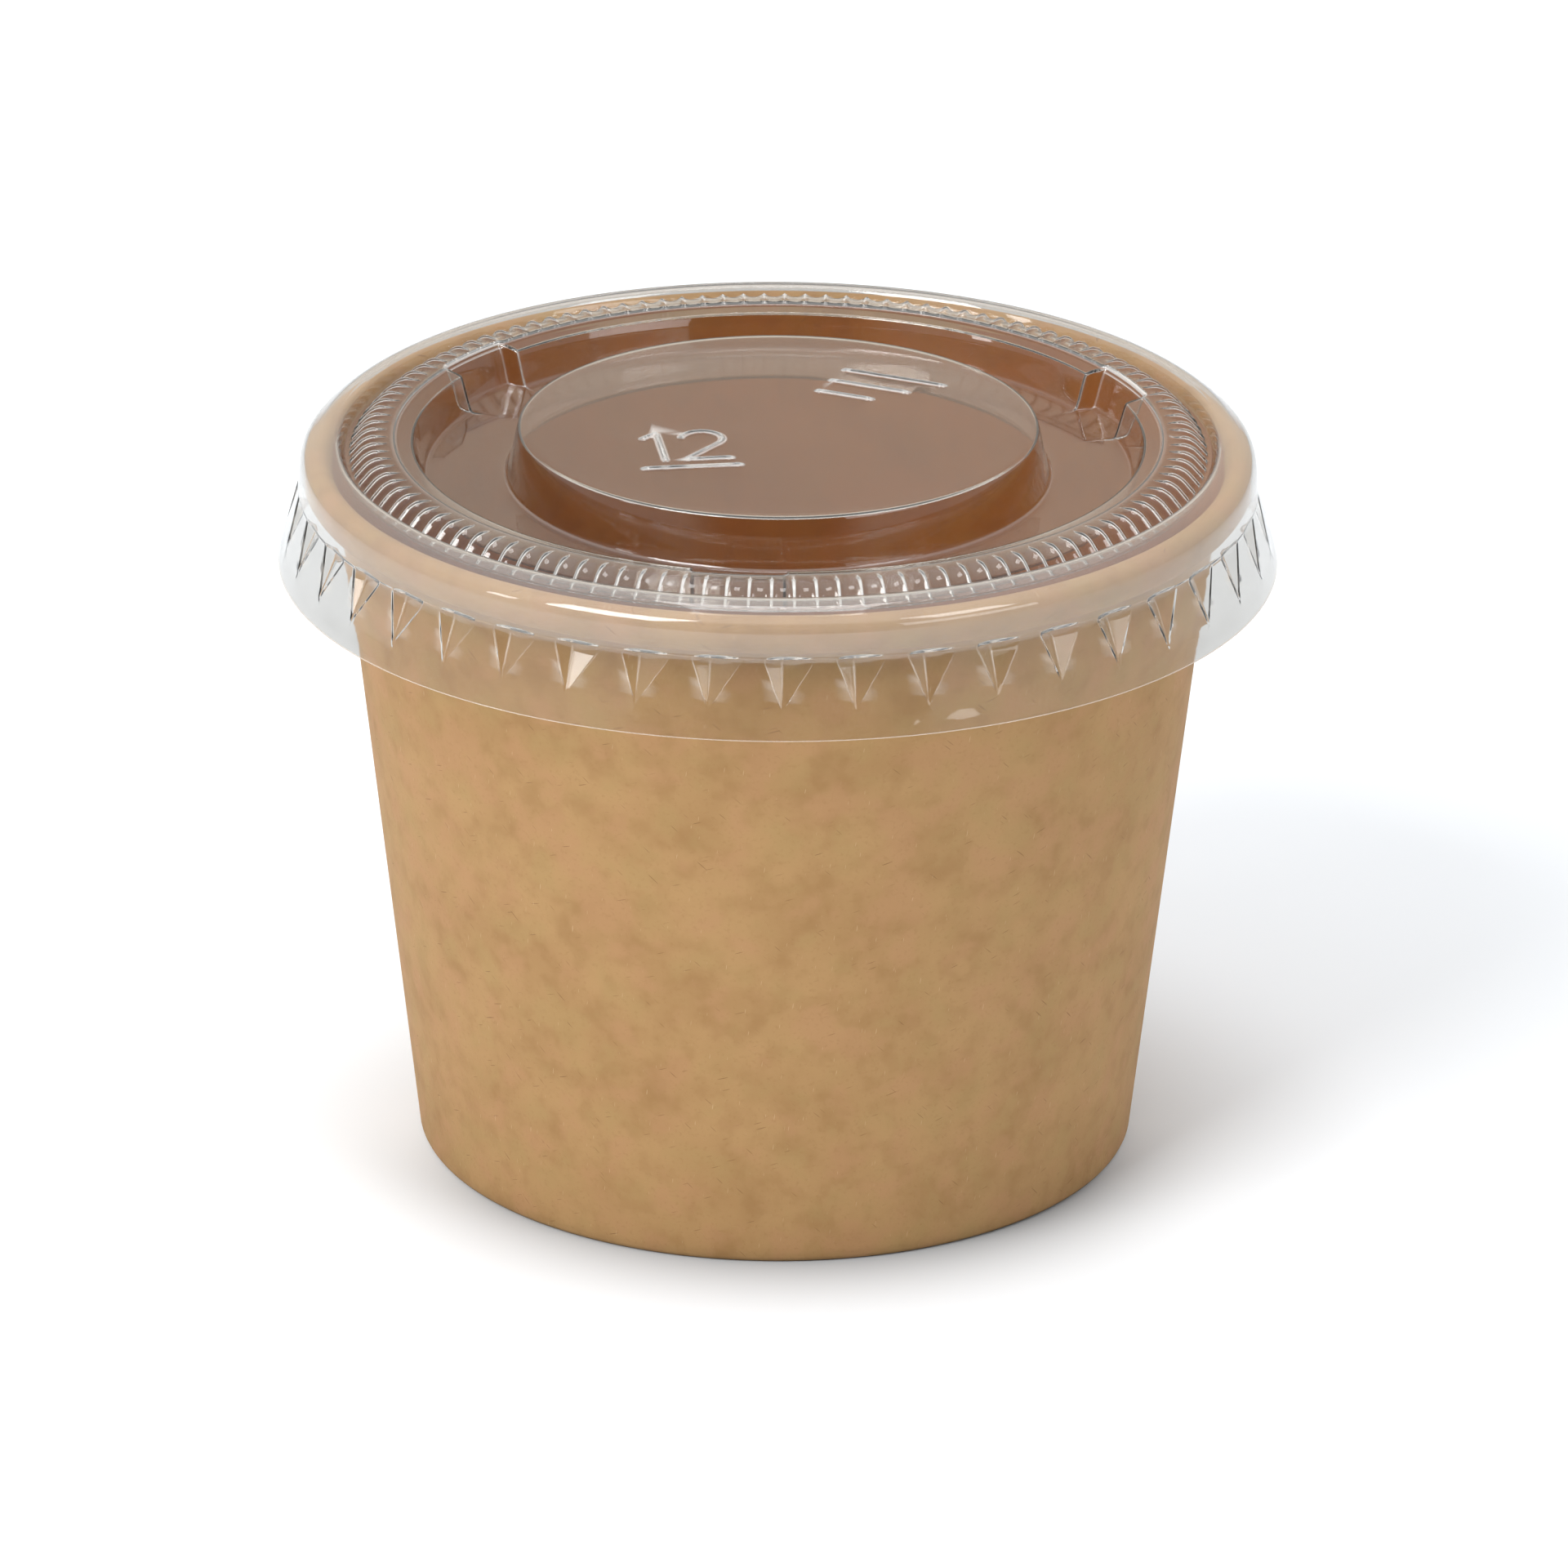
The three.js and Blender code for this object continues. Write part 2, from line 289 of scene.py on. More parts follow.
KRAFT_SHADES = (  # light, dark, pinkish and olive board
    (0.392, 0.230, 0.094), (0.294, 0.158, 0.056), (0.402, 0.217, 0.098), (0.358, 0.228, 0.086))
WALL_TURN = 32                           # mm, middling radius that turns the wall's angles into lengths
FIBRES = (  # lean in radians, length and width in mm, how rare, colour, strength
    (0.30, 1.6, 0.13, 0.800, (0.150, 0.068, 0.024), 0.60),
    (2.40, 1.8, 0.14, 0.805, (0.150, 0.068, 0.024), 0.55),
    (1.45, 0.9, 0.12, 0.800, (0.600, 0.430, 0.250), 0.40))


def kraft(name, around, tone, coat=0.0):
    """Kraft board. around lays the pattern round the wall, otherwise it lies flat on the disc."""
    material, tree, shader = new_material(name)
    coords = tree.nodes.new("ShaderNodeTexCoord").outputs["Object"]
    x, y, z = parts_of(tree, coords)
    if around:
        turn = x.node("ARCTAN2", y * -1.0)
        sheet_x, sheet_y = turn * (WALL_TURN * MM), z
        depth = (x * x + y * y).node("SQRT") * 0.5
    else:
        sheet_x, sheet_y, depth = x, y, z
    sheet = vector_of(tree, sheet_x, sheet_y, depth)

    clouds = noise(tree, sheet, 7.0, 3.0, 0.55)
    patches = noise(tree, sheet, 2.2, 2.0)
    warm = noise(tree, vector_of(tree, sheet_x + 0.11, sheet_y, depth), 3.6, 2.0)
    grain = noise(tree, sheet, 0.35, 2.0)
    toned = lambda colour: tuple(c * t for c, t in zip(colour, tone))
    light, dark, pink, olive = (toned(c) for c in KRAFT_SHADES)
    darkened = clouds.between(0.36, 0.70) * 0.42 + patches.between(0.42, 0.72) * 0.42
    colour = tint(tree, light, dark, darkened)
    colour = tint(tree, colour, pink, warm.between(0.5, 0.68) * 0.60)
    colour = tint(tree, colour, olive, warm.between(0.48, 0.30) * 0.50)
    colour = tint(tree, colour, dark, grain.between(0.52, 0.8) * 0.35)
    for number, (lean, length, width, edge, shade, strength) in enumerate(FIBRES):
        along = sheet_x * math.cos(lean) + sheet_y * math.sin(lean)
        across = sheet_y * math.cos(lean) - sheet_x * math.sin(lean)
        strand = vector_of(tree, along * (1.0 / length) + number * 0.37, across * (1.0 / width), 0.0)
        fibre = noise(tree, strand, 1.0, 0.0)
        colour = tint(tree, colour, toned(shade), fibre.between(edge, edge + 0.06) * strength)
    tree.links.new(colour, shader.inputs["Base Color"])
    shader.inputs["Roughness"].default_value = 0.72
    shader.inputs["Specular IOR Level"].default_value = 0.35
    shader.inputs["Coat Weight"].default_value = coat
    shader.inputs["Coat Roughness"].default_value = 0.30
    bump = tree.nodes.new("ShaderNodeBump")
    bump.inputs["Strength"].default_value = 0.35
    bump.inputs["Distance"].default_value = 0.05 * MM
    tree.links.new((grain + patches * 1.5).socket, bump.inputs["Height"])
    tree.links.new(bump.outputs[0], shader.inputs["Normal"])
    return material


kraft_wall = kraft("kraft wall board", True, (1.0, 1.0, 1.0))
# Painted shade: the inside board is a darker, more saturated copy of the wall's kraft that stands in for the
# shade inside the cup; its coat is the board's real coating.
shaded_kraft_inside = kraft("kraft coated inside", True, (0.72, 0.39, 0.08), coat=0.2)
kraft_disc = kraft("kraft bottom board", False, (0.80, 0.72, 0.62), coat=0.2)
print("kraft finishes:", kraft_wall.name, shaded_kraft_inside.name, kraft_disc.name)

# %% [markdown]
# ## The clear lid sheet
# The lid is PET or a similar clear sheet, about 0.3 mm thick. Its wall is modelled with both
# faces, so a glass shader bends light on the way in and back on the way out, as the real sheet
# does. Formed sheet isn't perfectly clear: where the mould bends it sharply the plastic whitens,
# and the bead, which is stretched most, is a little milky. Part of the white at the bends is a
# painted highlight, and part of the bead's milkiness is a painted reflection of the bright
# surroundings. Both come off the transmission, so that share of the light is scattered. Whitened
# bends low on the skirt take a warmer tone, painted light from the board behind them. Lamps and
# scattered light pass straight through: a thin sheet hardly bends them, and the cup's inside would
# otherwise need thousands of samples.

# %% Clear finish
# The bend haze is partly a painted highlight and the bead haze partly a painted reflection; the low bend tone
# is painted light from the board.
SHEET_HAZE, BEAD_HAZE_AND_REFLECTION, CREASE_HAZE_AND_HIGHLIGHT = 0.004, 0.058, 0.30
SHEET_TONE, LOW_BEND_BOARD_LIGHT = (0.93, 0.925, 0.91), (0.93, 0.85, 0.75)


def clear_sheet(name):
    material, tree, shader = new_material(name)
    shader.inputs["Roughness"].default_value = 0.035
    shader.inputs["IOR"].default_value = 1.50
    x, y, z = parts_of(tree, tree.nodes.new("ShaderNodeTexCoord").outputs["Object"])
    radius = (x * x + y * y).node("SQRT")
    on_bead = radius.between(34.2 * MM, 34.9 * MM) * z.between(53.9 * MM, 54.7 * MM)
    bend = tree.nodes.new("ShaderNodeAttribute")
    bend.attribute_name = "crease"
    crease = Sum(tree, bend.outputs["Fac"])
    # Painted highlight and reflection: part of this white scatter at sharp bends and on the bead stands in
    # for what they reflect, the rest is the sheet's own whitening and milkiness.
    scatter_and_painted_sheen = crease * CREASE_HAZE_AND_HIGHLIGHT + on_bead * BEAD_HAZE_AND_REFLECTION + SHEET_HAZE
    # Painted light: low on the skirt the whitened bends take the warm tone of the board behind them.
    painted_board_light = crease * z.between(54.9 * MM, 54.5 * MM)
    tone = tint(tree, SHEET_TONE, LOW_BEND_BOARD_LIGHT, painted_board_light)
    tree.links.new(tone, shader.inputs["Base Color"])
    tree.links.new((scatter_and_painted_sheen * -1.0 + 1.0).socket, shader.inputs["Transmission Weight"])
    path = tree.nodes.new("ShaderNodeLightPath")
    through = Sum(tree, path.outputs["Is Shadow Ray"]).most(Sum(tree, path.outputs["Is Diffuse Ray"]))
    open_where(tree, shader, through, (0.90, 0.90, 0.90))
    return material


clear = clear_sheet("clear lid sheet")

# %% [markdown]
# ## The side wall and its rolled rim
# On the real cup the wall is one strip of board, wrapped into a cone and glued down the back,
# rolled outwards at the top, and folded in under the bottom. The mesh is one closed band that
# follows the same strip: inside of the wall, round the roll, back along the roll's inside, down
# the outside and into the hem. Turning a profile suits it, with the overlap as a small shift.

# %% Make the side wall
PLAIN_COLUMNS = 240                     # columns of a turn that is round all the way
PAPER = 0.35                            # thickness of the board, mm
GLUE_GAP = 0.12                         # between two glued faces
BASE_RADIUS = 28.5
TAPER = 0.1124                          # growth of the wall's radius for each mm of height
FOLD = 0.45                             # radius of the fold that the cup stands on
RIM_RADIUS, RIM_TOP = 37.3, 57.3
RIM_HALF_WIDTH, RIM_HALF_HEIGHT = 1.15, 1.45
ROLL_END = -125.0                       # degrees, where the rolled edge stops
INNER_JOIN, OUTER_JOIN = 2.6, 3.2       # below the roll's middle, where the plain wall begins
HEM_TOP = 4.6
BOTTOM_UNDERSIDE = 5.1
SEAM, SEAM_HALF = 90.0, 6.0             # degrees, the overlap's middle and half its width
SEAM_RISE, SEAM_RUN_OUT = 0.22, 3.0     # degrees, over its cut edge and over its pressed side
SEAM_COLUMNS = (-0.12, 0.05, 0.12, 0.22, 0.35)


def outside_of_wall(z):
    return BASE_RADIUS + TAPER * z


def inside_of_wall(z):
    return outside_of_wall(z) - PAPER


def overlap(angles):
    """The glued overlap: one cut edge that stands a board's thickness proud, and a pressed run-out."""
    across = angle_from(angles, SEAM)
    cut_edge = ease((across + SEAM_HALF) / SEAM_RISE)
    return PAPER * 0.9 * cut_edge * ease((SEAM_HALF + SEAM_RUN_OUT - across) / SEAM_RUN_OUT)


def roll(inset, count):
    """Points round the roll's section, this far inside its outer face."""
    middle_r, middle_z = RIM_RADIUS - RIM_HALF_WIDTH, RIM_TOP - RIM_HALF_HEIGHT
    turn = np.radians(np.linspace(180.0, ROLL_END, count))
    return [(middle_r + (RIM_HALF_WIDTH - inset) * math.cos(t),
             middle_z + (RIM_HALF_HEIGHT - inset) * math.sin(t)) for t in turn]


def make_wall():
    seam_edge = SEAM - SEAM_HALF + np.array(SEAM_COLUMNS)
    angles = np.sort(np.concatenate([even_angles(PLAIN_COLUMNS), seam_edge]))
    hem_outside = lambda z: inside_of_wall(z) - 2 * GLUE_GAP - PAPER
    hem_inside = lambda z: hem_outside(z) - PAPER
    slot_foot = FOLD + 0.05
    roll_start = RIM_TOP - RIM_HALF_HEIGHT
    rows = [row(hem_outside(slot_foot), slot_foot, angles)]
    inside_heights = (slot_foot, 5.6, 20, 35, 50, roll_start - INNER_JOIN)
    rows += [row(inside_of_wall(z), z, angles) for z in inside_heights]
    rows += [row(r, z, angles) for r, z in roll(0.0, 26)]
    rows += [row(r, z, angles) for r, z in reversed(roll(PAPER, 22))]
    neck = roll_start - INNER_JOIN
    rows += [row(outside_of_wall(neck), neck, angles)]
    outside_heights = (roll_start - OUTER_JOIN, 50, 40, 30, 20, 10, 1.2, FOLD)
    rows += [row(outside_of_wall(z), z, angles, overlap) for z in outside_heights]
    for step in (25, 50, 70):
        turn = math.radians(step)
        rows.append(row(BASE_RADIUS - FOLD + FOLD * math.cos(turn), FOLD - FOLD * math.sin(turn), angles,
                        lambda a, share=1 - step / 90: overlap(a) * share))
    inner_middle = hem_inside(FOLD) + FOLD
    rows += [row(BASE_RADIUS - FOLD, 0, angles), row(inner_middle, 0, angles)]
    for step in (30, 60):
        turn = math.radians(step)
        rows.append(row(inner_middle - FOLD * math.sin(turn), FOLD - FOLD * math.cos(turn), angles))
    rows += [row(hem_inside(z), z, angles) for z in (FOLD, 2.5, HEM_TOP)]
    rows += [row(hem_outside(z), z, angles) for z in (HEM_TOP, 2.5)]
    wall = turned_mesh("cup_wall_board", rows, closed=True, sharp=38.0)
    wall.data.materials.append(kraft_wall)
    wall.data.materials.append(shaded_kraft_inside)
    for face in wall.data.polygons:
        r, z = face.center.to_2d().length / MM, face.center.z / MM
        faces_in = face.normal.to_2d().dot(face.center.to_2d()) < 0
        # Faces inside the cup take the kraft with painted shade.
        if faces_in and BOTTOM_UNDERSIDE < z < roll_start + 0.1 and r < inside_of_wall(z) + 1.8 * PAPER:
            face.material_index = 1
    return wall


wall = make_wall()
print("side wall:", len(wall.data.polygons), "faces")

# %% [markdown]
# ## The bottom
# The bottom is a disc of the same board with its edge turned down, glued between the wall and the
# hem, so it stands clear of the table. It's seen from below, and through the lid from above.

# %% Make the bottom
def make_bottom():
    angles = even_angles(180)
    outside = lambda z: inside_of_wall(z) - GLUE_GAP
    inside = lambda z: outside(z) - PAPER
    top = BOTTOM_UNDERSIDE + PAPER
    foot = 0.75
    upper = [row(r, top, angles) for r in (8.0, 16.0, 24.0)]
    bend = []
    for step in (0, 20, 40, 60, 80):
        turn = math.radians(step)
        r = outside(top) - 2 * PAPER * (1 - math.sin(turn))
        bend.append(row(r, top - 2 * PAPER * (1 - math.cos(turn)), angles))
    down = [row(outside(z), z, angles) for z in (top - 2 * PAPER, 2.5, foot)]
    back = [row(inside(z), z, angles) for z in (foot, 2.5, top - 2 * PAPER)]
    under_bend = []
    for step in (60, 30, 0):
        turn = math.radians(step)
        r = inside(top) - PAPER * (1 - math.sin(turn))
        under_bend.append(row(r, top - PAPER - PAPER * (1 - math.cos(turn)), angles))
    under = [row(r, BOTTOM_UNDERSIDE, angles) for r in (24.0, 16.0, 8.0)]
    rows = upper + bend + down + back + under_bend + under
    bottom = turned_mesh("cup_bottom_board", rows, sharp=50.0)
    shape = bmesh.new()
    shape.from_mesh(bottom.data)
    rims = [e for e in shape.edges if e.is_boundary]
    bmesh.ops.holes_fill(shape, edges=rims, sides=0)
    bmesh.ops.recalc_face_normals(shape, faces=shape.faces)
    shape.to_mesh(bottom.data)
    shape.free()
    smooth_shading(bottom.data, 50.0)
    bottom.data.materials.append(kraft_disc)
    return bottom


bottom = make_bottom()
print("bottom:", len(bottom.data.polygons), "faces")

# %% [markdown]
# ## Raised lines on the lid's centre
# Formed lids carry raised lines and a number from their mould. Here they're a plain number and three
# plain bars. Each line is a polyline, and the flat top is triangulated through points laid beside the
# lines, so the fine triangles are only where a line is. The height is a smooth bump of the distance
# to the nearest line.

# %% Raised lines
LINE_HALF_WIDTH, LINE_HEIGHT = 0.28, 0.16
LINE_OFFSETS = (-0.42, -0.28, -0.14, 0.0, 0.14, 0.28, 0.42)   # points across a line
POINT_STEP, POINT_CELL = 0.3, 0.09      # spacing along a line, and the cell that keeps one point
PLAIN_RINGS = ((5.0, 12), (10.0, 36), (15.0, 36), (18.0, 36))   # radius and number of points


def arc(middle_x, middle_y, radius, from_degrees, to_degrees, count=14):
    turn = np.radians(np.linspace(from_degrees, to_degrees, count))
    return np.stack([middle_x + radius * np.cos(turn), middle_y + radius * np.sin(turn)], 1)


def raised_lines():
    """The polylines in millimetres: the number 12 in front, three bars behind."""
    one = [[-2.9, 1.9], [-1.7, 3.0], [-1.7, -3.0]]
    two = np.vstack([arc(1.7, 1.35, 1.65, 160, -35), [[-0.1, -3.0], [3.5, -3.0]]])
    ground = [[-3.6, -4.6], [4.0, -4.6]]
    bars = [[[-4.2, y], [-4.2 + length, y]] for y, length in ((2.6, 8.6), (0.0, 6.6), (-2.6, 4.6))]
    placed = []
    for lines, middle, lean in (((one, two, ground), (-7.5, -5.0), 8.0), (bars, (8.0, 8.2), -24.0)):
        lean = math.radians(lean)
        turn = np.array([[math.cos(lean), math.sin(lean)], [-math.sin(lean), math.cos(lean)]])
        placed += [np.array(line, float) @ turn + middle for line in lines]
    return placed


def distance_to(lines, points):
    nearest = np.full(len(points), 1e9)
    for line in lines:
        for a, b in zip(line[:-1], line[1:]):
            along = np.clip(((points - a) @ (b - a)) / ((b - a) @ (b - a)), 0, 1)
            nearest = np.minimum(nearest, np.linalg.norm(points - a - along[:, None] * (b - a), axis=1))
    return nearest


def plateau_face(edge_row):
    """The flat top inside the given row, as points and triangles, with the raised lines pressed into it."""
    angles, radii, heights = edge_row
    edge = np.stack([radii * np.cos(np.radians(angles)), radii * np.sin(np.radians(angles))], 1)
    lines = raised_lines()
    points = [edge]
    for radius, count in PLAIN_RINGS:
        points.append(arc(0, 0, radius, 0, 360 - 360 / count, count))
    for line in lines:
        for a, b in zip(line[:-1], line[1:]):
            length = np.linalg.norm(b - a)
            side = np.array([a[1] - b[1], b[0] - a[0]]) / length
            count = max(1, round(length / POINT_STEP))
            for share in (np.arange(count) + 0.5) / count:
                for offset in LINE_OFFSETS:
                    points.append([a + (b - a) * share + side * offset])
        for end in (line[0], line[-1]):
            points += [arc(*end, LINE_HALF_WIDTH, 0, 315, 8), arc(*end, LINE_OFFSETS[-1], 0, 330, 12)]
    points = np.concatenate(points)
    cells = np.round(points / POINT_CELL).astype(int)
    _, kept = np.unique(cells, axis=0, return_index=True)
    points = points[np.sort(np.union1d(kept, np.arange(len(edge))))]
    made = geometry.delaunay_2d_cdt([Vector(p) for p in points], [], [], 0, 1e-6)
    flat = np.array([list(v) for v in made[0]])
    height = PLATEAU_TOP + LINE_HEIGHT * ease(1 - distance_to(lines, flat) / LINE_HALF_WIDTH)
    return np.column_stack([flat, height]), [list(face) for face in made[2]]


print("raised lines on the lid:", len(raised_lines()))

# %% [markdown]
# ## The lid's plain form
# A lid is vacuum formed from one sheet, so it's modelled as one face first and gets its thickness
# last. From the middle outwards: the raised centre, the channel that takes the base of a stacked
# cup, the lip with its three notches, the ring whose shoulder carries the ribs, the groove, the
# bead over the rolled rim, and the flared skirt. The stations were read through the fitted camera
# where the photograph shows them. The dents' number and section, and the ribs' number, are
# estimates, and both are spaced evenly all the way round.

# %% Make the lid's plain form
SHEET = 0.28                            # thickness of the sheet, mm
NOTCHES = (-95.8, 24.2, 144.2)          # degrees, their middles
NOTCH_HALF, NOTCH_SIDE = 6.3, 1.1       # degrees, half a notch's width and its side wall
NOTCH_DEPTH, NOTCH_SHELF = 1.5, 0.42    # mm in the channel's wall, and its share on the step above
RIB_COUNT, RIB_TURN = 120, -0.79        # the turn is in degrees
RIB_COLUMNS = (0.0, 0.06, 0.15, 0.30, 0.50, 0.70, 0.85, 0.94)   # shares of a rib's pitch
RIB_HEIGHT, RIB_START, RIB_END = 0.30, 31.20, 33.80
DENT_COUNT, DENT_TURN = 43, -1.52
DENT_LEFT, DENT_RIGHT = 1.25, 2.35      # from the fold to the steep and to the shallow side's edge
DENT_TOP, DENT_TIP = 54.15, 50.6
DENT_DEPTH, DENT_LEDGE = 0.65, 0.35
DENT_FILLET, DENT_FOOT = 0.05, 0.16     # columns stand this far to each side of an edge
LEAST_CLIMB = 0.12                      # keeps the columns apart where the dent runs out in a tip
PANEL_SAG = 0.10
PLATEAU_TOP, PLATEAU_COLUMNS = 59.33, 180
CHANNEL_COLUMNS, CHANNEL_TURN = 320, 0.31
SKIRT_RADIUS, SKIRT_FLARE = 37.85, 0.2675   # at the dents' top, and its growth for each mm down

PLATEAU = [(19.2, 59.33), (20.15, 59.33), (20.40, 59.22), (20.52, 58.95), (21.30, 55.62),
           (21.45, 55.30), (21.80, 55.16), (23.3, 55.16)]
CHANNEL_WALL = [(26.6, 55.16), (27.45, 55.16), (27.78, 55.30), (27.95, 55.65), (28.62, 57.85),
                (28.74, 58.08), (28.98, 58.17), (29.70, 58.31)]
STEP = [(29.96, 58.345), (30.04, 58.365), (30.09, 58.42), (30.14, 58.475), (30.23, 58.52), (30.6, 58.54)]
SHOULDER = [(31.1, 58.545), (31.6, 58.55), (32.07, 58.48), (32.65, 58.20), (33.2, 57.66), (33.66, 57.16)]
BEAD = [(33.72, 57.09), (33.92, 57.06), (34.12, 57.14), (34.27, 57.45), (34.42, 57.95), (34.68, 58.30),
        (35.10, 58.42), (35.95, 58.20), (36.74, 57.66), (37.22, 57.28), (37.48, 56.85), (37.62, 56.2),
        (37.68, 55.4), (37.72, 54.64)]
DENT_HEIGHTS = (54.52, 54.46, 54.40, 54.34, 54.28, 54.22, 54.15, 53.6, 53.0, 52.4, 51.8, 51.4, 51.1,
                50.85, 50.6, 50.4)
SKIRT_HEIGHTS = (49.9, 49.4, 48.9, 48.5, 48.42)


def in_notch(angles):
    """1 inside a notch and 0 outside, with steep rounded sides."""
    most = np.zeros(len(angles))
    for centre in NOTCHES:
        across = np.abs(angle_from(angles, centre))
        most = np.maximum(most, ease((NOTCH_HALF + NOTCH_SIDE - across) / NOTCH_SIDE))
    return most


def channel_angles():
    """Even columns with extra ones down the sides of each notch."""
    sides = [centre + side * (NOTCH_HALF + NOTCH_SIDE * share)
             for centre in NOTCHES for side in (-1, 1) for share in np.linspace(-0.15, 1.15, 9)]
    angles = np.concatenate([even_angles(CHANNEL_COLUMNS, CHANNEL_TURN), np.array(sides) % 360.0])
    return np.unique(np.round(angles, 4))


def rib_angles():
    """Columns that gather at each rib's crest, so it's crisp and the hollow beside it smooth."""
    pitch = 360.0 / RIB_COUNT
    within = np.array(RIB_COLUMNS) * pitch
    return (RIB_TURN + np.arange(RIB_COUNT)[:, None] * pitch + within[None, :]).ravel()


def dent_angles(z, radius):
    """Columns that follow a dent's slanting edges and fold at this height, and the panel beside it."""
    climb = min(max((z - DENT_TIP) / (DENT_TOP - DENT_TIP), LEAST_CLIMB), 1.0)
    left, right = -DENT_LEFT * climb, DENT_RIGHT * climb
    fillet, foot = DENT_FILLET * climb, DENT_FOOT * climb
    pitch = 2 * math.pi * radius / DENT_COUNT
    panel = right + foot + (pitch + left - right - 2 * foot) * np.array([0.25, 0.5, 0.75])
    within = [left - foot, left - fillet, left + fillet, left + foot, left / 2, -foot, -fillet, fillet, foot,
              right * 0.38, right * 0.70, right - foot, right - fillet, right + fillet, right + foot, *panel]
    share = 0.5 + np.array(within) / pitch
    return (DENT_TURN + (np.arange(DENT_COUNT)[:, None] + share[None, :]) * (360.0 / DENT_COUNT)).ravel()


def skirt_radius(z):
    return SKIRT_RADIUS + (DENT_TOP - z) * SKIRT_FLARE


def make_lid_form():
    plain, channel, ribbed = even_angles(PLAIN_COLUMNS), channel_angles(), rib_angles()
    plateau = smooth_profile(PLATEAU, [2, 4, 4, 4, 4, 4, 2])
    rows = [row(r, z, even_angles(PLATEAU_COLUMNS)) for r, z in plateau]
    notch = in_notch(channel)
    for r, z in smooth_profile(CHANNEL_WALL, [1, 4, 4, 6, 4, 4, 3]):
        depth = NOTCH_DEPTH if r < 28.8 else NOTCH_DEPTH * (30.5 - r) / 1.7     # it runs out on the lip
        reach = ease((r - 26.6) / 0.9)
        rows.append((channel, r + notch * depth * reach, np.full(len(channel), z)))
    for r, z in STEP:
        rows.append((channel, r + notch * NOTCH_SHELF * (31.0 - r), np.full(len(channel), z)))
    rows += [row(r, z, ribbed) for r, z in smooth_profile(SHOULDER, [1, 2, 2, 3, 3])]
    rows += [row(r, z, plain) for r, z in smooth_profile(BEAD, [1, 1, 2, 1, 2, 3, 2, 3, 2, 2, 2, 1, 1])]
    rows += [row(skirt_radius(z), z, dent_angles(z, skirt_radius(z))) for z in DENT_HEIGHTS]
    rows += [row(skirt_radius(z), z, plain) for z in SKIRT_HEIGHTS]
    form = turned_mesh("lid_form", rows, cap=plateau_face(rows[0]), sharp=180.0)
    middle = min(form.data.polygons, key=lambda face: face.center.to_2d().length)
    if middle.normal.z < 0:
        form.data.flip_normals()
    return form


lid = make_lid_form()
print("lid form:", len(lid.data.polygons), "faces, across", round(lid.dimensions.x / MM, 2), "mm")

# %% [markdown]
# ## Ribs and dents
# The ribs on the ring's shoulder stiffen it, and the V-shaped dents in the skirt clip under the
# rolled rim. Both repeat by a rule of angle and height, so one Geometry Nodes tree moves the
# lid's points: outwards along the normal for a rib, inwards to the axis for a dent. Copies of one
# rib or dent would have to be cut into the sheet, while a rule keeps it one closed sheet.

# %% Geometry Nodes for the ribs and dents
WHOLE_TURNS = 1000.0                    # keeps the number before FRACT above 0 on every side


